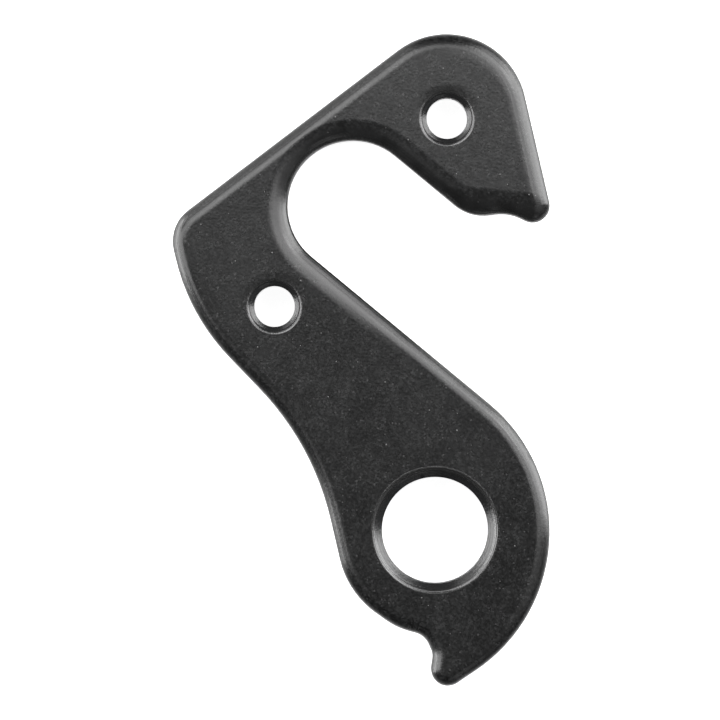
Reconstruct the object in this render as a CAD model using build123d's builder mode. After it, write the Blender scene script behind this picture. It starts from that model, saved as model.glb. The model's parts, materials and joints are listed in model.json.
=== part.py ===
"""Rear derailleur hanger for a bicycle: one hooked plate of aluminium, machined all round.

The plate lies on its flat inboard face at z = 0, and +Z points away from the wheel.
The derailleur bolt's axis is the origin, +X points to the front of the bicycle and +Y upwards.
Sizes are in millimetres and degrees.
"""

import os
from math import radians, sin, tan

from build123d import *

# Plate section; the front round meets the walls in an arris, where it slopes by the front tilt
thickness = 7.0
front_round = 1.6
front_tilt = 50.0
back_break = 0.35

# Derailleur hole, an M10 x 1 thread drawn at its core diameter
derailleur_bore = 8.92
derailleur_sink = 0.8

# Frame bolt holes, M4 threads drawn at their core diameter
bolt_bore = 3.42
bolt_sink = 0.47

# Countersinks at both ends of every hole; the front one is as wide as the hole's sink, with an eased edge
mouth_angle = 110.0
mouth_round = 0.5
inboard_lead = 0.4

# Places of the wheel axle, at the closed end of its slot, and of the frame bolts around it
axle_back = 6.9
axle_rise = 27.25
upper_bolt_ahead = 7.9
upper_bolt_above = 7.35
lower_bolt_behind = 6.6
lower_bolt_below = 8.45

# Axle slot, open to the front and downwards
slot_width = 11.0
slot_slope = 39.6

# Hook around the upper bolt, with a scalloped end
hook_round = 6.75
hook_front_wall = 6.8
hook_front_lean = 13.0
hook_top_wall = 7.05
top_slope = 37.3
heel_wall = 8.55
heel_slope = 8.0
heel_round = 3.75
scallop_round = 3.65
tip_drop = 2.5
tip_slope = 25.5
tip_round = 1.4

# Rear edge beside the lower bolt, and the waist below it
shoulder_round = 3.25
rear_wall = 7.15
rear_lean = 13.3
rear_round = 17.65
waist_wall = 5.7
waist_slope = 46.1
waist_round = 23.6

# Boss around the derailleur hole
boss_wall = 8.35
boss_swell = 0.2
boss_round = 7.6
neck_lean = 13.1
belly_slope = 35.5
shelf_slope = 13.7
shelf_round = 6.35
bulge_wall = 11.7
bulge_slope = 33.8
bulge_round = 14.0

# Notch and tab against which the derailleur's adjusting screw stops
ramp_wall = 4.3
ramp_lean = 23.5
notch_round = 1.75
stop_setback = 1.4
stop_lean = 8.6
stop_round = 1.5
tab_round = 1.4

# Length of a side that stays straight, and width of front face that is left, where rounds have to be limited
least_straight = 0.33
least_flat = 0.1


def side(centre, wall, heading):
    """A straight side of the outline that runs along heading, with the centre this far to its left."""
    along = Vector(1, 0).rotate(Axis.Z, heading)
    return Axis(centre + along.rotate(Axis.Z, -90) * wall, along)


def limited_rounds(runs, rounds):
    """The corner rounds between the runs of an open chain, each no larger than its two runs allow."""
    turns = [a.get_angle(b) for a, b in zip(runs, runs[1:])]
    reaches = [0] + [size * tan(radians(turn / 2)) for size, turn in zip(rounds, turns)] + [0]
    lengths = [run.length / (1 + least_straight / run.length) for run in runs]
    rooms = [length / (a + b) for length, a, b in zip(lengths, reaches, reaches[1:])]
    return [size * min(1, a, b) for size, a, b in zip(rounds, rooms, rooms[1:])]


# Centres of the holes and of the slot's closed end
derailleur = Vector(0, 0)
axle = Vector(-axle_back, axle_rise)
upper_bolt = axle + Vector(upper_bolt_ahead, upper_bolt_above)
lower_bolt = axle + Vector(-lower_bolt_behind, -lower_bolt_below)

# Straight sides of the outline, counter-clockwise from the slot's closed end
slot_radius = slot_width / 2
underside = side(axle, -slot_radius, -slot_slope)
heel = side(upper_bolt, heel_wall, heel_slope)
front = side(upper_bolt, hook_front_wall, 90 + hook_front_lean)
tip_corner = front.intersect(side(upper_bolt, heel_wall + tip_drop, heel_slope))
tip = side(tip_corner, 0, -tip_slope)
top = side(upper_bolt, hook_top_wall, 180 + top_slope)
rear = side(lower_bolt, rear_wall, -90 + rear_lean)
waist = side(lower_bolt, waist_wall, -waist_slope)
neck = side(derailleur, boss_wall, -90 + neck_lean)
belly = side(derailleur, boss_wall + boss_swell, -belly_slope)
shelf = side(derailleur, boss_wall + 2 * boss_swell, -shelf_slope)
ramp = side(derailleur, ramp_wall, -90 + ramp_lean)
stop = side(derailleur, -stop_setback, -90 - stop_lean)
bulge = side(derailleur, bulge_wall, bulge_slope)
floor = side(axle, -slot_radius, 180 - slot_slope)

# Corners between the sides, with the round at each of them
sides = [underside, heel, tip, front, top, rear, waist, neck, belly, shelf, ramp, stop, bulge, floor]
corners = [a.intersect(b) for a, b in zip(sides, sides[1:])]
chain = [underside.position, *corners, floor.position]
runs = [end - start for start, end in zip(chain, chain[1:])]
rounds = [
    heel_round,
    scallop_round,
    tip_round,
    hook_round,
    shoulder_round,
    rear_round,
    waist_round,
    boss_round,
    shelf_round,
    notch_round,
    stop_round,
    tab_round,
    bulge_round,
]
corner_rounds = limited_rounds(runs, rounds)

# Plan of the plate, closed by the end of the slot
with BuildSketch() as plan:
    with BuildLine():
        FilletPolyline(*chain, radius=corner_rounds)
        TangentArc(floor.position, underside.position, tangent=floor.direction)
    make_face()

# The front round reaches no further in than the tightest outward corner or half the arm behind the axle
outward = [size for size, a, b in zip(corner_rounds, runs, runs[1:]) if a.cross(b).Z > 0]
arm = min(line.direction.cross(axle - line.position).Z for line in (top, rear)) - slot_radius
reach = sin(radians(front_tilt))
room = min((arm - least_flat) / 2, min(outward) - least_flat)
edge_round = min(front_round, room / reach)
overhang = edge_round * (1 - reach)

# Hanger plate: a wider blank, rounded at the front, is trimmed to the plan, broken at the back and drilled
with BuildPart() as hanger:
    with BuildSketch():
        add(plan.sketch)
        offset(amount=overhang)
    extrude(amount=thickness)
    fillet(hanger.faces().sort_by(Axis.Z)[-1].edges(), radius=edge_round)
    extrude(plan.sketch, amount=thickness, mode=Mode.INTERSECT)
    chamfer(hanger.faces().sort_by(Axis.Z)[0].edges(), length=back_break)
    for centre, bore, sink in (
        (derailleur, derailleur_bore, derailleur_sink),
        (upper_bolt, bolt_bore, bolt_sink),
        (lower_bolt, bolt_bore, bolt_sink),
    ):
        with Locations(centre + Vector(0, 0, thickness)):
            CounterSinkHole(bore / 2, bore / 2 + sink, depth=thickness, counter_sink_angle=mouth_angle)
        with Locations(Plane(origin=centre, z_dir=(0, 0, -1))):
            CounterSinkHole(bore / 2, bore / 2 + inboard_lead, depth=thickness, counter_sink_angle=mouth_angle)
    fillet(hanger.faces().sort_by(Axis.Z)[-1].inner_wires().edges(), radius=mouth_round)

hanger.part.label = "hanger"
os.makedirs("parts", exist_ok=True)
export_step(hanger.part, "parts/hanger.step")
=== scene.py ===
import json
import logging
import math
from collections.abc import Iterable
from dataclasses import dataclass, replace
from enum import Enum

import bmesh
import bpy
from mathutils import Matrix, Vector


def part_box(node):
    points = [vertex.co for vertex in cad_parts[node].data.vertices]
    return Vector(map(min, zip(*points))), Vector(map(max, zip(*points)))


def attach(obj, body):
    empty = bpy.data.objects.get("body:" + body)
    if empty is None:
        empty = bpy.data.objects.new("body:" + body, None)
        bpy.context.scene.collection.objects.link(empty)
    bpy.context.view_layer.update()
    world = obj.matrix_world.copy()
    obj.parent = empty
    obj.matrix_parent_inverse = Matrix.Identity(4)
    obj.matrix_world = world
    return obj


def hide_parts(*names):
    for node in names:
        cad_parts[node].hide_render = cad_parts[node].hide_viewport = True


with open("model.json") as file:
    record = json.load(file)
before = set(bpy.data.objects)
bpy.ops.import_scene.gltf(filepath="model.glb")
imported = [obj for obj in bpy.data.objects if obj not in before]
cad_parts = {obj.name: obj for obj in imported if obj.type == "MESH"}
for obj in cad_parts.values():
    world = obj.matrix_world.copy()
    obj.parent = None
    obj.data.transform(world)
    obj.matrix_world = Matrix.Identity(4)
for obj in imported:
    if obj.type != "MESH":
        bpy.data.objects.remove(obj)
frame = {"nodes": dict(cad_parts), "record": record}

# Lengths are written in millimetres and used in metres
MM = 0.001
UP = Vector((0.0, 0.0, 1.0))
TOOL_RUN = "tool_run"
LOG = logging.getLogger("hanger_scene")

Socket = bpy.types.NodeSocket
Span = tuple[float, float]
Point = tuple[float, float, float]
Colour = tuple[float, float, float, float]


class Area(Enum):
    """Finishes of the hanger, in the order of its material slots."""

    PLATE = 0
    HOLE = 1
    RIM = 2


class Graph:
    """Node tree of one material, with short ways to add and join nodes."""

    def __init__(self, name: str) -> None:
        """Start an empty material.

        Args:
            name: Name of the new material.
        """
        self.material = bpy.data.materials.new(name)
        self.material.use_nodes = True
        self.tree = self.material.node_tree
        self.tree.nodes.clear()

    def add(self, kind: str, **settings: object) -> bpy.types.Node:
        """Add a node.

        Args:
            kind: Blender's name of the node type.
            settings: Properties to set on the node.

        Returns:
            The new node.
        """
        node = self.tree.nodes.new(kind)
        for key, value in settings.items():
            setattr(node, key, value)
        return node

    def join(self, source: Socket, target: Socket) -> None:
        """Link an output to an input."""
        self.tree.links.new(source, target)

    def feed(self, target: Socket, value: object) -> None:
        """Link a socket into an input, or set the input to a plain value.

        Args:
            target: Input socket.
            value: Output socket to link, or a number, colour or vector.
        """
        if isinstance(value, Socket):
            self.join(value, target)
        else:
            target.default_value = value

    def math(self, operation: str, first: object, second: object = 0.0) -> Socket:
        """Add a Math node.

        Args:
            operation: Name of the operation.
            first: Socket or number.
            second: Socket or number.

        Returns:
            The node's result.
        """
        node = self.add("ShaderNodeMath", operation=operation)
        self.feed(node.inputs[0], first)
        self.feed(node.inputs[1], second)
        return node.outputs[0]

    def vector(self, operation: str, first: object, second: object, output: str = "Vector") -> Socket:
        """Add a Vector Math node.

        Args:
            operation: Name of the operation.
            first: Socket or vector.
            second: Socket or vector.
            output: Name of the wanted output.

        Returns:
            The node's result.
        """
        node = self.add("ShaderNodeVectorMath", operation=operation)
        self.feed(node.inputs[0], first)
        self.feed(node.inputs[1], second)
        return node.outputs[output]

    def scaled(self, vector: Point, factor: Socket) -> Socket:
        """Multiply a plain vector by a factor.

        Args:
            vector: Vector or colour.
            factor: Socket of the factor.

        Returns:
            The scaled vector.
        """
        node = self.add("ShaderNodeVectorMath", operation="SCALE")
        node.inputs[0].default_value = vector
        self.join(factor, node.inputs["Scale"])
        return node.outputs[0]

    def ramp(self, value: Socket, span: Span, result: Span) -> Socket:
        """Map a value from one span to another, clamped, with smooth ends.

        Args:
            value: Socket to map.
            span: Lowest and highest input.
            result: Outputs at those two ends.

        Returns:
            The mapped value.
        """
        node = self.add("ShaderNodeMapRange", interpolation_type="SMOOTHSTEP")
        self.feed(node.inputs["Value"], value)
        for name, number in zip(("From Min", "From Max", "To Min", "To Max"), (*span, *result)):
            node.inputs[name].default_value = number
        return node.outputs["Result"]

    def mix(self, factor: object, first: object, second: object) -> Socket:
        """Mix two colours.

        Args:
            factor: Share of the second colour.
            first: Colour or socket.
            second: Colour or socket.

        Returns:
            The mixed colour.
        """
        # The node names its inputs A and B once for each data type, so its colours go by number
        node = self.add("ShaderNodeMix", data_type="RGBA")
        self.feed(node.inputs["Factor"], factor)
        self.feed(node.inputs[6], first)
        self.feed(node.inputs[7], second)
        return node.outputs[2]

    def noise(self, place: Socket, size: float) -> Socket:
        """Add a noise of a real size.

        Args:
            place: Coordinates in metres.
            size: Width of one grain in metres.

        Returns:
            The noise from 0 to 1.
        """
        node = self.add("ShaderNodeTexNoise")
        self.feed(node.inputs["Vector"], place)
        node.inputs["Scale"].default_value = 1.0 / size
        return node.outputs["Fac"]

    def lines(self, value: Socket, size: float) -> Socket:
        """Add a noise that changes along one value only.

        Args:
            value: Value along which the lines follow one another.
            size: Width of one line in the value's unit.

        Returns:
            The noise from 0 to 1.
        """
        node = self.add("ShaderNodeTexNoise", noise_dimensions="1D")
        self.feed(node.inputs["W"], value)
        node.inputs["Scale"].default_value = 1.0 / size
        return node.outputs["Fac"]

    def cells(self, place: Socket, size: float) -> tuple[Socket, bpy.types.bpy_prop_collection]:
        """Divide space into irregular cells of a real size.

        Args:
            place: Coordinates in metres.
            size: Width of one cell in metres.

        Returns:
            The distance to the cell's centre in cell widths, and its chances Red, Green and Blue.
        """
        node = self.add("ShaderNodeTexVoronoi", voronoi_dimensions="3D", feature="F1")
        self.join(place, node.inputs["Vector"])
        node.inputs["Scale"].default_value = 1.0 / size
        chances = self.add("ShaderNodeSeparateColor")
        self.join(node.outputs["Color"], chances.inputs["Color"])
        return node.outputs["Distance"], chances.outputs

    def bump(self, heights: Iterable[tuple[Socket, float]]) -> Socket:
        """Turn the sum of some heights into a normal.

        Args:
            heights: Pairs of a height and the real height of 1 in metres.

        Returns:
            The bent normal.
        """
        total = 0.0
        for height, depth in heights:
            total = self.math("ADD", self.math("MULTIPLY", height, depth), total)
        node = self.add("ShaderNodeBump")
        node.inputs["Distance"].default_value = 1.0
        self.join(total, node.inputs["Height"])
        return node.outputs["Normal"]

    def axes(self, vector: Socket) -> bpy.types.bpy_prop_collection:
        """Split a vector into its parts X, Y and Z.

        Args:
            vector: Socket of the vector.

        Returns:
            The three outputs, by name.
        """
        node = self.add("ShaderNodeSeparateXYZ")
        self.join(vector, node.inputs[0])
        return node.outputs

    def plan(self, place: Socket) -> Socket:
        """Drop the height of a place."""
        return self.vector("MULTIPLY", place, (1.0, 1.0, 0.0))

    def place(self) -> Socket:
        """Object coordinates in metres."""
        return self.add("ShaderNodeTexCoord").outputs["Object"]

    def finish(self, shader: Socket) -> bpy.types.Material:
        """Send a shader to the surface and hand the material out."""
        self.join(shader, self.add("ShaderNodeOutputMaterial").inputs["Surface"])
        return self.material


@dataclass(frozen=True)
class Specks:
    """Small light spots scattered over a surface, one in a share of its cells."""

    spacing: float
    size: float
    share: float
    colour: Colour
    smallest: float = 0.4
    faintest: float = 0.35

    def mask(self, graph: Graph, place: Socket) -> Socket:
        """Scatter the spots.

        Args:
            graph: Node tree of the finish.
            place: Coordinates in metres.

        Returns:
            Up to 1 on a spot and 0 elsewhere.
        """
        distance, chances = graph.cells(place, self.spacing)
        chosen = graph.math("LESS_THAN", chances["Red"], self.share)
        width = graph.ramp(chances["Green"], (0.0, 1.0), (self.smallest, 1.0))
        near = graph.math("MULTIPLY", distance, self.spacing / self.size)
        spot = graph.math("LESS_THAN", near, width)
        strength = graph.ramp(chances["Blue"], (0.0, 1.0), (self.faintest, 1.0))
        return graph.math("MULTIPLY", graph.math("MULTIPLY", spot, chosen), strength)


@dataclass(frozen=True)
class Ease:
    """Soft lead of the plate's front face into the round along a stretch of the outline.

    The stretch follows a strip with round ends, from outside it or from inside it.
    The ease lies in a band beside the strip's border, and fades in along a heading.
    """

    start: Point
    slope: float
    length: float
    radius: float
    inside: bool
    band: Span
    depth: float
    heading: float
    fade: Span

    def height(self, graph: Graph, place: Socket) -> Socket:
        """Work out the height of the ease from the distance to the strip's border.

        Args:
            graph: Node tree of the finish.
            place: Coordinates in metres.

        Returns:
            The height, with 0 on the face and -1 at the foot of the ease.
        """
        along = (math.cos(self.slope), math.sin(self.slope), 0.0)
        level = graph.plan(place)
        arm = graph.vector("SUBTRACT", level, self.start)
        run = graph.math("MAXIMUM", graph.vector("DOT_PRODUCT", arm, along, "Value"), 0.0)
        spine = graph.scaled(along, graph.math("MINIMUM", run, self.length))
        gap = graph.math("SUBTRACT", graph.vector("DISTANCE", arm, spine, "Value"), self.radius)
        if self.inside:
            gap = graph.math("MULTIPLY", gap, -1.0)
        rise = graph.math("SUBTRACT", graph.ramp(gap, self.band, (0.0, 1.0)), 1.0)
        way = (math.cos(self.heading), math.sin(self.heading), 0.0)
        share = graph.ramp(graph.vector("DOT_PRODUCT", level, way, "Value"), self.fade, (0.0, 1.0))
        return graph.math("MULTIPLY", rise, share)


@dataclass(frozen=True)
class HoleDish:
    """Shallow dish in the plate's front face above a hole."""

    centre: Point
    depth: float
    band: Span = (2.05 * MM, 3.3 * MM)
    fade: Span = (-1.0 * MM, 1.5 * MM)

    def height(self, graph: Graph, place: Socket) -> Socket:
        """Work out the height of the dish from the distance to the hole's axis.

        Args:
            graph: Node tree of the finish.
            place: Coordinates in metres.

        Returns:
            The height, with 0 on the face and -1 at the foot of the dish.
        """
        arm = graph.vector("SUBTRACT", graph.plan(place), self.centre)
        gap = graph.vector("DISTANCE", arm, (0.0, 0.0, 0.0), "Value")
        drop = graph.math("POWER", graph.ramp(gap, self.band, (1.0, 0.0)), 2.0)
        share = graph.ramp(graph.axes(arm)["Y"], self.fade, (0.0, -1.0))
        return graph.math("MULTIPLY", drop, share)


@dataclass(frozen=True)
class EdgeLines:
    """Fine cutter lines that run along the plate's front round.

    They fade in below the top, over the start, and end at the share. Both are shares of the radius.
    """

    top: float
    radius: float = 1.6 * MM
    share: float = 0.35
    width: float = 0.2 * MM
    depth: float = 0.02 * MM
    start: float = 0.06

    def height(self, graph: Graph, place: Socket) -> Socket:
        """Work out the lines from the way around the round.

        Args:
            graph: Node tree of the finish.
            place: Coordinates in metres.

        Returns:
            The height from 0 to 1.
        """
        drop = graph.math("DIVIDE", graph.math("SUBTRACT", self.top, graph.axes(place)["Z"]), self.radius)
        drop = graph.math("MINIMUM", graph.math("MAXIMUM", drop, 0.0), self.share)
        turn = graph.math("ARCCOSINE", graph.math("SUBTRACT", 1.0, drop))
        lines = graph.lines(turn, self.width / self.radius)
        return graph.math("MULTIPLY", lines, graph.ramp(drop, (0.0, self.start), (0.0, 1.0)))


@dataclass(frozen=True)
class BlastedAnodising:
    """Bead-blasted aluminium, anodised black, with a little dust on it.

    The grain is made of small facets, each with a shade of its own.
    It evens out on the eases of the slot and the heel.
    Specks lie on the front face only, within a film's height of the top.
    """

    top: float
    dishes: tuple[HoleDish, ...]
    name: str = "blasted_black_anodising"
    colour: Point = (0.0094, 0.0095, 0.0096)
    refraction: float = 1.62
    roughness: Span = (0.22, 0.25)
    patch: float = 5.0 * MM
    patch_span: Span = (0.3, 0.7)
    cloud: float = 1.2 * MM
    cloud_span: Span = (0.25, 0.75)
    cloud_shades: Span = (0.75, 1.35)
    grain: float = 0.22 * MM
    grain_depth: float = 0.008 * MM
    facet: float = 0.15 * MM
    facet_shade: float = 0.953
    facet_spread: float = 1.6
    mean_square: float = 1.0 / 3.0
    film: float = 0.02 * MM
    flecks: Specks = Specks(
        spacing=0.3 * MM,
        size=0.085 * MM,
        share=0.17,
        colour=(0.065, 0.065, 0.065, 1.0),
    )
    dust: Specks = Specks(
        spacing=0.6 * MM,
        size=0.06 * MM,
        share=0.25,
        colour=(0.18, 0.18, 0.178, 1.0),
    )
    slot: Ease = Ease(
        start=(-6.9 * MM, 27.25 * MM, 0.0),
        slope=math.radians(-39.6),
        length=40.0 * MM,
        radius=5.5 * MM,
        inside=False,
        band=(0.46 * MM, 1.85 * MM),
        depth=0.17 * MM,
        heading=math.radians(90.0),
        fade=(13.75 * MM, 21.25 * MM),
    )
    heel: Ease = Ease(
        start=(2.26 * MM, 23.9 * MM, 0.0),
        slope=math.radians(-6.0),
        length=5.2 * MM,
        radius=3.0 * MM,
        inside=False,
        band=(0.3 * MM, 2.1 * MM),
        depth=0.18 * MM,
        heading=math.radians(90.0),
        fade=(13.75 * MM, 21.25 * MM),
    )
    hook: Ease = Ease(
        start=(1.0 * MM, 34.6 * MM, 0.0),
        slope=math.radians(-77.0),
        length=10.0 * MM,
        radius=6.8 * MM,
        inside=True,
        band=(0.35 * MM, 1.6 * MM),
        depth=0.085 * MM,
        heading=math.radians(13.0),
        fade=(8.5 * MM, 15.0 * MM),
    )

    def heights(self, graph: Graph, place: Socket, forms: Iterable) -> list[tuple[Socket, float]]:
        """Work out the heights of some forms, which the flat back face doesn't have.

        Args:
            graph: Node tree of the finish.
            place: Coordinates in metres.
            forms: Eases, dishes or lines.

        Returns:
            Pairs of a height and the real height of 1 in metres.
        """
        front = graph.math("GREATER_THAN", graph.axes(place)["Z"], self.film)
        return [(graph.math("MULTIPLY", form.height(graph, place), front), form.depth) for form in forms]

    def tint(self, graph: Graph, place: Socket, grainy: Socket) -> Socket:
        """Mix the colour of the facets, with clouds in it and specks on it.

        Args:
            graph: Node tree of the finish.
            place: Coordinates in metres.
            grainy: 1 where the grain is whole and 0 where it is evened out.

        Returns:
            The colour.
        """
        chances = graph.cells(place, self.facet)[1]
        squared = graph.math("POWER", chances["Red"], 2.0)
        uneven = graph.math("SUBTRACT", squared, self.mean_square)
        speckle = graph.math("MULTIPLY", uneven, self.facet_spread)
        shade = graph.math("ADD", graph.math("MULTIPLY", speckle, grainy), self.facet_shade)
        cloud = graph.ramp(graph.noise(place, self.cloud), self.cloud_span, self.cloud_shades)
        tint = graph.scaled(self.colour, graph.math("MULTIPLY", shade, cloud))
        face = graph.math("GREATER_THAN", graph.axes(place)["Z"], self.top - self.film)
        face = graph.math("MULTIPLY", face, grainy)
        for specks in (self.flecks, self.dust):
            tint = graph.mix(graph.math("MULTIPLY", specks.mask(graph, place), face), tint, specks.colour)
        return tint

    def build(self) -> bpy.types.Material:
        """Build the material.

        Returns:
            The finished material.
        """
        graph = Graph(self.name)
        place = graph.place()
        shader = graph.add("ShaderNodeBsdfPrincipled")
        shader.inputs["IOR"].default_value = self.refraction
        slot, heel, hook = self.heights(graph, place, (self.slot, self.heel, self.hook))
        grainy = graph.math("ADD", graph.math("MINIMUM", slot[0], heel[0]), 1.0)
        graph.join(self.tint(graph, place, grainy), shader.inputs["Base Color"])
        rough = graph.ramp(graph.noise(place, self.patch), self.patch_span, self.roughness)
        graph.join(rough, shader.inputs["Roughness"])
        forms = self.heights(graph, place, (EdgeLines(self.top), *self.dishes))
        grain = (graph.noise(place, self.grain), self.grain_depth)
        graph.join(graph.bump((grain, slot, heel, hook, *forms)), shader.inputs["Normal"])
        return graph.finish(shader.outputs["BSDF"])


@dataclass(frozen=True)
class CutAnodising:
    """Turned countersinks and tapped bores, anodised black over the tool marks."""

    name: str = "cut_black_anodising"
    colour: Colour = (0.012, 0.0122, 0.0125, 1.0)
    refraction: float = 1.6
    roughness: float = 0.16
    feed: float = 0.25 * MM
    feed_depth: float = 0.06 * MM
    grain: float = 0.14 * MM
    grain_depth: float = 0.018 * MM

    def build(self) -> bpy.types.Material:
        """Build the material.

        Returns:
            The finished material.
        """
        graph = Graph(self.name)
        shader = graph.add("ShaderNodeBsdfPrincipled")
        shader.inputs["Base Color"].default_value = self.colour
        shader.inputs["IOR"].default_value = self.refraction
        shader.inputs["Roughness"].default_value = self.roughness
        run = graph.add("ShaderNodeAttribute", attribute_name=TOOL_RUN)
        marks = (graph.lines(run.outputs["Fac"], self.feed), self.feed_depth)
        grain = (graph.noise(graph.place(), self.grain), self.grain_depth)
        graph.join(graph.bump((marks, grain)), shader.inputs["Normal"])
        return graph.finish(shader.outputs["BSDF"])


@dataclass(frozen=True)
class WhiteSweep:
    """White studio floor that shows white to the camera and keeps soft shadows."""

    name: str = "white_sweep"
    colour: Colour = (0.9, 0.9, 0.9, 1.0)
    glow: Span = (0.95, 1.0)
    reach: Span = (60.0 * MM, 600.0 * MM)

    def build(self) -> bpy.types.Material:
        """Build the material.

        Returns:
            The finished material.
        """
        graph = Graph(self.name)
        diffuse = graph.add("ShaderNodeBsdfDiffuse")
        diffuse.inputs["Color"].default_value = self.colour
        glow = graph.add("ShaderNodeEmission")
        distance = graph.vector("DISTANCE", graph.place(), (0.0, 0.0, 0.0), "Value")
        level = graph.ramp(distance, self.reach, self.glow)
        path = graph.add("ShaderNodeLightPath")
        seen = graph.math("ADD", path.outputs["Is Camera Ray"], path.outputs["Is Glossy Ray"])
        seen = graph.math("ADD", seen, path.outputs["Is Transmission Ray"])
        graph.join(graph.math("MULTIPLY", level, seen), glow.inputs["Strength"])
        both = graph.add("ShaderNodeAddShader")
        graph.join(diffuse.outputs["BSDF"], both.inputs[0])
        graph.join(glow.outputs["Emission"], both.inputs[1])
        return graph.finish(both.outputs["Shader"])


def open_edges(shape: bmesh.types.BMesh) -> int:
    """Count the edges of a mesh that don't lie between two faces."""
    return sum(not edge.is_manifold for edge in shape.edges)


def new_object(shape: bmesh.types.BMesh, name: str) -> bpy.types.Object:
    """Make an object of a finished shape.

    Args:
        shape: Shape of the object, which is freed.
        name: Name of the object and of its mesh.

    Returns:
        The object, in the scene.
    """
    mesh = bpy.data.meshes.new(name)
    shape.to_mesh(mesh)
    shape.free()
    piece = bpy.data.objects.new(name, mesh)
    bpy.context.scene.collection.objects.link(piece)
    return piece


@dataclass(frozen=True)
class HoleSize:
    """Sizes of a tapped hole that the mounts don't give.

    The sink is the width of the front countersink, whose edge is softened over the soft width.
    Below that its wall shades at the steepest angle, a little askew.
    The dish is the depth of the hollow in the face above the hole.
    """

    major: float
    pitch: float
    sink: float
    soft: float
    steepest: float
    dish: float
    askew: float


@dataclass
class TappedHole:
    """A through hole with a countersink at each end and a thread between them.

    Its cutter is wider than the drawn hole by a skin, and its mouths are sunk a little.
    So no face of the cutter lies in a face of the plate, and the cut is a clean one.
    The thread groove's flat is a share of the pitch.
    The groove fades out over part of a turn, and a share of its depth is left at its ends.
    """

    centre: Vector
    core: float
    size: HoleSize
    low: float
    high: float
    half_angle: float = math.radians(55.0)
    mouth_round: float = 0.5 * MM
    lead: float = 0.4 * MM
    margin: float = 0.5 * MM
    skin: float = 0.005 * MM
    sunk: float = 0.01 * MM
    steps: int = 180
    round_steps: int = 6
    groove_steps: int = 72
    groove_clearance: float = 0.05 * MM
    groove_flat: float = 0.125
    groove_fade: float = 0.5
    groove_end: float = 0.02
    flank: float = math.radians(30.0)
    close: float = 0.008 * MM

    def __post_init__(self) -> None:
        """Work out the heights and radii of the plain hole."""
        self.core_radius: float = self.core / 2
        self.tilt: float = math.pi / 2 - self.half_angle
        self.setback: float = self.mouth_round * math.tan(self.tilt / 2)
        self.rim: float = self.core_radius + self.size.sink + self.setback
        self.bore_top: float = self.high - self.size.sink / math.tan(self.half_angle)
        self.bore_bottom: float = self.low + self.lead / math.tan(self.half_angle)
        self.round_start: float = self.rim - self.mouth_round * math.sin(self.tilt)
        self.soft_start: float = self.rim - self.size.soft * math.sin(self.tilt)

    def profile(self) -> list[Span]:
        """Draw half the section of the turned hole, from the back to the front.

        Returns:
            Radius and height of each corner.
        """
        back = self.core_radius + self.lead
        corners = [(back, self.low - self.margin), (back, self.low - self.sunk)]
        corners += [(self.core_radius, self.bore_bottom), (self.core_radius, self.bore_top - self.sunk)]
        if self.soft_start < self.round_start:
            rise = (self.soft_start - self.core_radius) / math.tan(self.half_angle)
            corners.append((self.soft_start, self.bore_top - self.sunk + rise))
        for step in range(self.round_steps, -1, -1):
            turn = self.tilt * step / self.round_steps
            drop = self.mouth_round * (1.0 - math.cos(turn)) + self.sunk
            corners.append((self.rim - self.mouth_round * math.sin(turn), self.high - drop))
        corners.append((self.rim, self.high + self.margin))
        return [(radius + self.skin, height) for radius, height in corners]

    def turn(self, cutter: bmesh.types.BMesh) -> None:
        """Add the turned hole's ring to a cutter.

        Args:
            cutter: Mesh that holds the rings of all the holes.
        """
        section = self.profile()
        inside = self.core_radius / 2
        section += [(inside, section[-1][1]), (inside, section[0][1])]
        corners = [cutter.verts.new(self.centre + Vector((x, 0.0, z))) for x, z in section]
        loop = [cutter.edges.new(pair) for pair in zip(corners, corners[1:] + corners[:1])]
        bmesh.ops.spin(
            cutter,
            geom=[*corners, *loop],
            cent=self.centre,
            axis=UP,
            angle=2.0 * math.pi,
            steps=self.steps,
            use_merge=True,
        )

    def half_width(self, radius: float) -> float:
        """Half the thread groove's width along the axis at a radius."""
        flat = self.size.pitch * self.groove_flat
        return flat / 2 + (self.size.major / 2 - radius) * math.tan(self.flank)

    def groove(self, cutter: bmesh.types.BMesh) -> None:
        """Add the thread's groove to a cutter, fading out at each countersink.

        Args:
            cutter: Mesh that holds the grooves of all the holes.
        """
        inner = self.core_radius - self.groove_clearance
        outer = self.size.major / 2
        wide = self.half_width(inner)
        fine = self.half_width(outer)
        section = ((inner, -wide), (outer, -fine), (outer, fine), (inner, wide))
        start = self.bore_bottom + wide
        count = round((self.bore_top - wide - start) / self.size.pitch * self.groove_steps)
        corners = [cutter.verts.new(self.centre + Vector((x, 0.0, start + z))) for x, z in section]
        face = cutter.faces.new(corners)
        known = len(cutter.verts) - len(corners)
        bmesh.ops.spin(
            cutter,
            geom=[face, *face.edges, *corners],
            cent=self.centre,
            axis=UP,
            dvec=(0.0, 0.0, self.size.pitch / self.groove_steps),
            angle=2.0 * math.pi * count / self.groove_steps,
            steps=count,
        )
        cutter.verts.ensure_lookup_table()
        fade = self.groove_steps * self.groove_fade
        for number in range(known, len(cutter.verts)):
            step = (number - known) // len(corners)
            depth = min(1.0, step / fade, (count - step) / fade)
            vertex = cutter.verts[number]
            arm = Vector((vertex.co.x - self.centre.x, vertex.co.y - self.centre.y, 0.0))
            pull = (1.0 - depth) * (1.0 - self.groove_end)
            vertex.co += arm * ((inner - arm.length) / arm.length * pull)

    def reach(self, point: Vector) -> float:
        """Distance of a point from the hole's axis."""
        return math.hypot(point.x - self.centre.x, point.y - self.centre.y)

    def rim_gap(self, point: Vector) -> float:
        """How far inside the rim a point lies, seen along the axis."""
        return self.rim - self.reach(point)

    def tool_run(self, point: Vector) -> float:
        """How far the tool has come along the wall at a point."""
        return abs(point.z - self.bore_top) - self.rim_gap(point)

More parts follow.
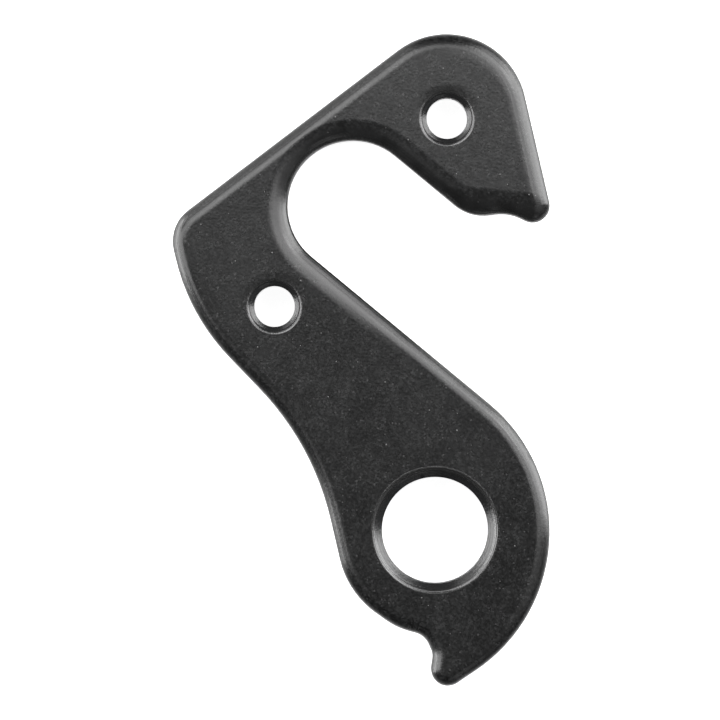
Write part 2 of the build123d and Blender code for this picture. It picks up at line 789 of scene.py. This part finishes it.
    def plain_radius(self, height: float) -> float:
        """Find the radius of the plain hole at a height.

        Args:
            height: Height above the back of the plate.

        Returns:
            The radius.
        """
        if height > self.bore_top:
            return self.core_radius + (height - self.bore_top) * math.tan(self.half_angle)
        if height < self.bore_bottom:
            return self.core_radius + (self.bore_bottom - height) * math.tan(self.half_angle)
        return self.core_radius

    def holds(self, point: Vector) -> bool:
        """Whether a point lies in the hole or on its wall."""
        return self.reach(point) < self.rim + self.skin

    def is_rim(self, point: Vector) -> bool:
        """Whether a point lies on the softened edge of the front countersink."""
        return point.z > self.bore_top and self.rim_gap(point) < self.rim - self.soft_start

    def is_turned(self, point: Vector) -> bool:
        """Whether a point lies on the plain wall of the hole, and not in the thread."""
        radius = self.reach(point)
        return radius < self.plain_radius(point.z) + self.close or radius > self.round_start - self.close

    def turned_normal(self, point: Vector, inside: Vector) -> Vector:
        """Work out the exact normal of the plain wall.

        Args:
            point: Corner of a face.
            inside: Middle of that face, which tells the cones from the bore.

        Returns:
            The normal.
        """
        arm = Vector((point.x - self.centre.x, point.y - self.centre.y, 0.0))
        radius = arm.length
        arm /= radius
        if inside.z > self.bore_top:
            lean = min(max((self.rim - radius) / self.size.soft, 0.0), math.sin(self.size.steepest))
            aside = Vector((self.size.askew * lean, 0.0, 0.0))
            return (UP * math.sqrt(1.0 - lean * lean) - arm * lean - aside).normalized()
        if inside.z < self.bore_bottom:
            return UP * -math.cos(self.tilt) - arm * math.sin(self.tilt)
        return -arm


@dataclass
class Hanger:
    """The hanger plate with its tapped holes.

    A face counts as flat where its normal's upright part, up or down, is over the level.
    """

    node: str = "hanger"
    body: str = "root"
    slot: str = "black_anodised"
    name: str = "hanger_plate"
    weld: float = 0.001 * MM
    sharp: float = math.radians(32.0)
    level: float = 0.99999
    worn_rim: CutAnodising = CutAnodising(
        name="worn_rim",
        colour=(0.013, 0.013, 0.013, 1.0),
        refraction=1.9,
    )
    derailleur: HoleSize = HoleSize(
        major=10.0 * MM,
        pitch=1.0 * MM,
        sink=0.8 * MM,
        soft=0.8 * MM,
        steepest=math.radians(35.0),
        dish=0.0,
        askew=0.0,
    )
    upper_bolt: HoleSize = HoleSize(
        major=4.0 * MM,
        pitch=0.7 * MM,
        sink=0.47 * MM,
        soft=0.25 * MM,
        steepest=math.radians(41.0),
        dish=0.04 * MM,
        askew=0.12,
    )
    lower_bolt: HoleSize = replace(upper_bolt, dish=0.02 * MM)

    def __post_init__(self) -> None:
        """Work out the height of the plate's front face, and its holes."""
        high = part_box(self.node)[1]
        self.top: float = high.z
        self.holes: list[TappedHole] = self.tapped_holes()

    def tapped_holes(self) -> list[TappedHole]:
        """Work out the tapped holes from the mounts of the part.

        Returns:
            The holes.
        """
        low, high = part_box(self.node)
        sizes = {
            "derailleur_thread": self.derailleur,
            "upper_frame_bolt": self.upper_bolt,
            "lower_frame_bolt": self.lower_bolt,
        }
        found = []
        for mount in frame["record"]["mounts"]:
            if mount["name"] in sizes:
                centre = Vector((mount["pos_m"][0], mount["pos_m"][1], 0.0))
                core = 2.0 * mount["dims"]["r_mm"] * MM
                found.append(TappedHole(centre, core, sizes[mount["name"]], low.z, high.z))
        return found

    def hole_at(self, point: Vector) -> TappedHole | None:
        """Find the hole that holds a point."""
        return next((hole for hole in self.holes if hole.holds(point)), None)

    def is_flat(self, face: bpy.types.MeshPolygon) -> bool:
        """Whether a face lies flat, at the front or the back of the plate."""
        return abs(face.normal.z) > self.level

    def welded_copy(self) -> bpy.types.Object:
        """Copy the plate's mesh and join its loose triangles.

        Returns:
            The new object.
        """
        shape = bmesh.new()
        shape.from_mesh(frame["nodes"][self.node].data)
        bmesh.ops.remove_doubles(shape, verts=shape.verts, dist=self.weld)
        LOG.info("plate has %d open edges", open_edges(shape))
        return new_object(shape, self.name)

    def cut(self, piece: bpy.types.Object, cutter: bmesh.types.BMesh, name: str) -> None:
        """Take a cutter's solid away from the plate.

        Args:
            piece: The plate.
            cutter: Mesh of the solid, which is freed.
            name: Name of the cut.
        """
        bmesh.ops.recalc_face_normals(cutter, faces=cutter.faces)
        tool = new_object(cutter, name)
        taken = piece.modifiers.new(name, "BOOLEAN")
        taken.operation = "DIFFERENCE"
        taken.solver = "EXACT"
        taken.object = tool
        bpy.context.view_layer.update()
        graph = bpy.context.evaluated_depsgraph_get()
        result = bpy.data.meshes.new_from_object(piece.evaluated_get(graph))
        piece.modifiers.clear()
        piece.data = result
        bpy.data.objects.remove(tool)
        shape = bmesh.new()
        shape.from_mesh(result)
        LOG.info("%s left %d open edges", name, open_edges(shape))
        shape.free()

    def drill(self, piece: bpy.types.Object) -> None:
        """Turn the holes smooth and cut their threads.

        Args:
            piece: The plate.
        """
        turned = bmesh.new()
        grooves = bmesh.new()
        for hole in self.holes:
            hole.turn(turned)
            hole.groove(grooves)
        self.cut(piece, turned, "turning")
        self.cut(piece, grooves, "threading")

    def dress(self, piece: bpy.types.Object) -> None:
        """Give the plate, the holes and their rims their finishes, and measure the cutting tool's run.

        Args:
            piece: The plate.
        """
        mesh = piece.data
        dished = [hole for hole in self.holes if hole.size.dish]
        dishes = tuple(HoleDish(tuple(hole.centre), hole.size.dish) for hole in dished)
        mesh.materials.clear()
        for finish in (BlastedAnodising(self.top, dishes), CutAnodising(), self.worn_rim):
            mesh.materials.append(finish.build())
        for face in mesh.polygons:
            hole = self.hole_at(face.center)
            area = Area.PLATE
            if hole is not None and not self.is_flat(face):
                area = Area.RIM if hole.is_rim(face.center) else Area.HOLE
            face.material_index = area.value
        run = mesh.attributes.new(TOOL_RUN, "FLOAT", "POINT")
        for vertex, entry in zip(mesh.vertices, run.data):
            entry.value = max(self.holes, key=lambda hole: hole.rim_gap(vertex.co)).tool_run(vertex.co)

    def smooth(self, piece: bpy.types.Object) -> None:
        """Shade the rounds smoothly, keep the flats flat and give the turned walls their exact normals.

        Args:
            piece: The plate.
        """
        mesh = piece.data
        mesh.shade_smooth()
        mesh.set_sharp_from_angle(angle=self.sharp)
        normals = [Vector(corner.vector) for corner in mesh.corner_normals]
        for face in mesh.polygons:
            flat = self.is_flat(face)
            hole = self.hole_at(face.center)
            turned = not flat and hole is not None and hole.is_turned(face.center)
            for corner in face.loop_indices:
                point = mesh.vertices[mesh.loops[corner].vertex_index].co
                if flat:
                    normals[corner] = UP * math.copysign(1.0, face.normal.z)
                elif turned:
                    normals[corner] = hole.turned_normal(point, face.center)
                elif point.z > self.top - self.weld:
                    normals[corner] = UP
        mesh.normals_split_custom_set(normals)

    def build(self) -> bpy.types.Object:
        """Build and dress the hanger.

        Returns:
            The finished piece.
        """
        piece = self.welded_copy()
        self.drill(piece)
        self.dress(piece)
        self.smooth(piece)
        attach(piece, self.body)
        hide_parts(self.node)
        return piece


@dataclass(frozen=True)
class SoftBox:
    """A rectangular studio light that faces the part, with its bearing, sweep and rise in degrees."""

    name: str
    bearing: float
    sweep: float
    rise: Span
    radiance: float
    reach: float = 270.0 * MM

    def build(self, target: Vector) -> bpy.types.Object:
        """Place the light.

        Args:
            target: Point that the light faces.

        Returns:
            The light.
        """
        low, high = (math.radians(angle) for angle in self.rise)
        turn = math.radians(self.bearing)
        level = math.cos((low + high) / 2)
        data = bpy.data.lights.new(self.name, "AREA")
        data.shape = "RECTANGLE"
        data.size = 2.0 * self.reach * level * math.tan(math.radians(self.sweep / 2))
        data.size_y = 2.0 * self.reach * math.tan((high - low) / 2)
        data.energy = self.radiance * math.pi * data.size * data.size_y
        lamp = bpy.data.objects.new(self.name, data)
        away = Vector((math.cos(turn) * level, math.sin(turn) * level, math.sin((low + high) / 2)))
        lamp.location = target + away * self.reach
        lamp.rotation_euler = away.to_track_quat("Z", "Y").to_euler()
        lamp.visible_camera = False
        bpy.context.scene.collection.objects.link(lamp)
        return lamp


@dataclass
class Studio:
    """Floor, lights and camera around the part.

    The picture's scale holds at the rim height, where the front round meets the plate's walls.
    The camera's sensor is in millimetres, as Blender measures it.
    """

    picture: float = 720.0
    pixels_per_mm: float = 11.9
    view_centre: Span = (-6.308 * MM, 14.298 * MM)
    rim_height: float = 6.4 * MM
    camera_distance: float = 1500.0 * MM
    sensor: float = 36.0
    nearest: float = 10.0 * MM
    farthest: float = 20000.0 * MM
    floor_gap: float = 0.02 * MM
    floor_radius: float = 3000.0 * MM
    floor_rise: float = 250.0 * MM
    floor_steps: int = 96
    ambience: float = 0.03
    white: Colour = (1.0, 1.0, 1.0, 1.0)
    boxes: tuple[SoftBox, ...] = (
        SoftBox("right_floor_box", bearing=12.0, sweep=30.0, rise=(0.5, 11.0), radiance=6.0),
        SoftBox("right_low_box", bearing=22.0, sweep=44.0, rise=(11.0, 30.0), radiance=7.0),
        SoftBox("right_box", bearing=21.0, sweep=42.0, rise=(30.0, 49.0), radiance=4.8),
        SoftBox("right_high_box", bearing=12.0, sweep=34.0, rise=(49.0, 75.0), radiance=2.5),
        SoftBox("front_box", bearing=52.0, sweep=20.0, rise=(16.0, 40.0), radiance=2.4),
        SoftBox("front_high_box", bearing=47.0, sweep=38.0, rise=(40.0, 58.0), radiance=4.8),
        SoftBox("front_top_box", bearing=47.0, sweep=40.0, rise=(58.0, 73.0), radiance=2.5),
        SoftBox("left_low_box", bearing=169.0, sweep=60.0, rise=(9.0, 31.0), radiance=7.2),
        SoftBox("left_box", bearing=176.0, sweep=42.0, rise=(31.0, 62.0), radiance=3.8),
        SoftBox("rear_box", bearing=127.0, sweep=26.0, rise=(8.0, 48.0), radiance=1.3),
        SoftBox("rear_high_box", bearing=130.0, sweep=44.0, rise=(47.0, 74.0), radiance=3.1),
        SoftBox("side_box", bearing=-18.0, sweep=50.0, rise=(30.0, 72.0), radiance=0.35),
        SoftBox("strip_box", bearing=-66.0, sweep=32.0, rise=(29.0, 37.0), radiance=1.1),
        SoftBox("low_box", bearing=-140.0, sweep=40.0, rise=(56.0, 75.0), radiance=0.25),
        SoftBox("top_box", bearing=92.0, sweep=100.0, rise=(60.0, 85.0), radiance=1.34),
    )

    def floor(self) -> bpy.types.Object:
        """Build the round floor with its rim turned up.

        Returns:
            The floor.
        """
        shape = bmesh.new()
        bmesh.ops.create_circle(shape, cap_ends=True, segments=self.floor_steps, radius=self.floor_radius)
        rim = [edge for edge in shape.edges if edge.is_boundary]
        grown = bmesh.ops.extrude_edge_only(shape, edges=rim)["geom"]
        wall = [item for item in grown if isinstance(item, bmesh.types.BMVert)]
        bmesh.ops.translate(shape, verts=wall, vec=(0.0, 0.0, self.floor_rise))
        bmesh.ops.translate(shape, verts=shape.verts, vec=(0.0, 0.0, -self.floor_gap))
        sweep = new_object(shape, "sweep")
        sweep.data.materials.append(WhiteSweep().build())
        return sweep

    def room(self) -> None:
        """Fill the room with a dim even light."""
        world = bpy.data.worlds.new("room")
        world.use_nodes = True
        back = world.node_tree.nodes["Background"]
        back.inputs["Color"].default_value = self.white
        back.inputs["Strength"].default_value = self.ambience
        bpy.context.scene.world = world

    def camera(self) -> bpy.types.Object:
        """Place the camera straight above the plate.

        Returns:
            The camera.
        """
        data = bpy.data.cameras.new("camera")
        across = self.picture / self.pixels_per_mm * MM
        data.sensor_width = self.sensor
        data.lens = self.sensor * self.camera_distance / across
        data.clip_start = self.nearest
        data.clip_end = self.farthest
        camera = bpy.data.objects.new("camera", data)
        camera.location = (*self.view_centre, self.rim_height + self.camera_distance)
        bpy.context.scene.collection.objects.link(camera)
        bpy.context.scene.camera = camera
        return camera

    def build(self) -> list[bpy.types.Object]:
        """Build the whole studio.

        Returns:
            The floor, the lights and the camera.
        """
        bpy.context.scene.view_settings.view_transform = "Standard"
        self.room()
        target = Vector((*self.view_centre, 0.0))
        return [self.floor(), *(box.build(target) for box in self.boxes), self.camera()]


def main() -> None:
    """Build the hanger and its studio."""
    logging.basicConfig(level=logging.INFO, format="%(message)s")
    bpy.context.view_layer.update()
    piece = Hanger().build()
    LOG.info("%s: %d faces", piece.name, len(piece.data.polygons))
    for item in Studio().build():
        LOG.info("%s: in place", item.name)


if __name__ == "__main__":
    main()
